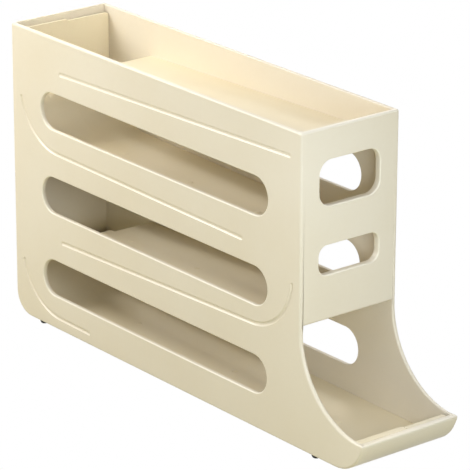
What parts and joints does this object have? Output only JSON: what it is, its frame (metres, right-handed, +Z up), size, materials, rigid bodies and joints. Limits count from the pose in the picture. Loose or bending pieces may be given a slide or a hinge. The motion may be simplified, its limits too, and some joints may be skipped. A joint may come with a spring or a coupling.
{
  "type": "rolling egg dispenser",
  "caption": "Narrow upright plastic box with a zigzag of sloping ramps, open at the top, slotted along the sides and windowed in front, that rolls goods down to a low flared tray.",
  "frame": {"origin": "under the middle of the whole box, lip included, on the surface that the feet stand on", "axes": "+Z up, +Y to the back of the box, the tray and lip towards -Y, +X to the right seen from the front"},
  "size_m": [0.078, 0.361, 0.208],
  "materials": {
    "shell": "satin ivory moulded plastic",
    "ramp": "satin ivory moulded plastic",
    "rubber": "dull dark rubber",
    "steel": "plain steel"
  },
  "bodies": {
    "root": {"left_side_panel": "shell", "right_side_panel": "shell", "front_panel": "shell", "back_panel": "shell", "base_panel": "shell", "front_lip": "shell", "top_ramp_left": "ramp", "top_ramp_right": "ramp", "second_ramp_left": "ramp", "second_ramp_right": "ramp", "third_ramp_left": "ramp", "third_ramp_right": "ramp", "bottom_ramp_left": "ramp", "bottom_ramp_right": "ramp", "top_ramp_rivet_1": "ramp", "top_ramp_rivet_2": "ramp", "top_ramp_rivet_3": "ramp", "second_ramp_rivet_1": "ramp", "second_ramp_rivet_2": "ramp", "second_ramp_rivet_3": "ramp", "third_ramp_rivet_1": "ramp", "third_ramp_rivet_2": "ramp", "third_ramp_rivet_3": "ramp", "bottom_ramp_rivet_1": "ramp", "bottom_ramp_rivet_2": "ramp", "bottom_ramp_rivet_3": "ramp", "front_left_foot": "rubber", "front_right_foot": "rubber", "rear_left_foot": "rubber", "rear_right_foot": "rubber", "back_panel_screw_1": "steel", "back_panel_screw_2": "steel", "back_panel_screw_3": "steel", "back_panel_screw_4": "steel"}
  },
  "joints": []
}
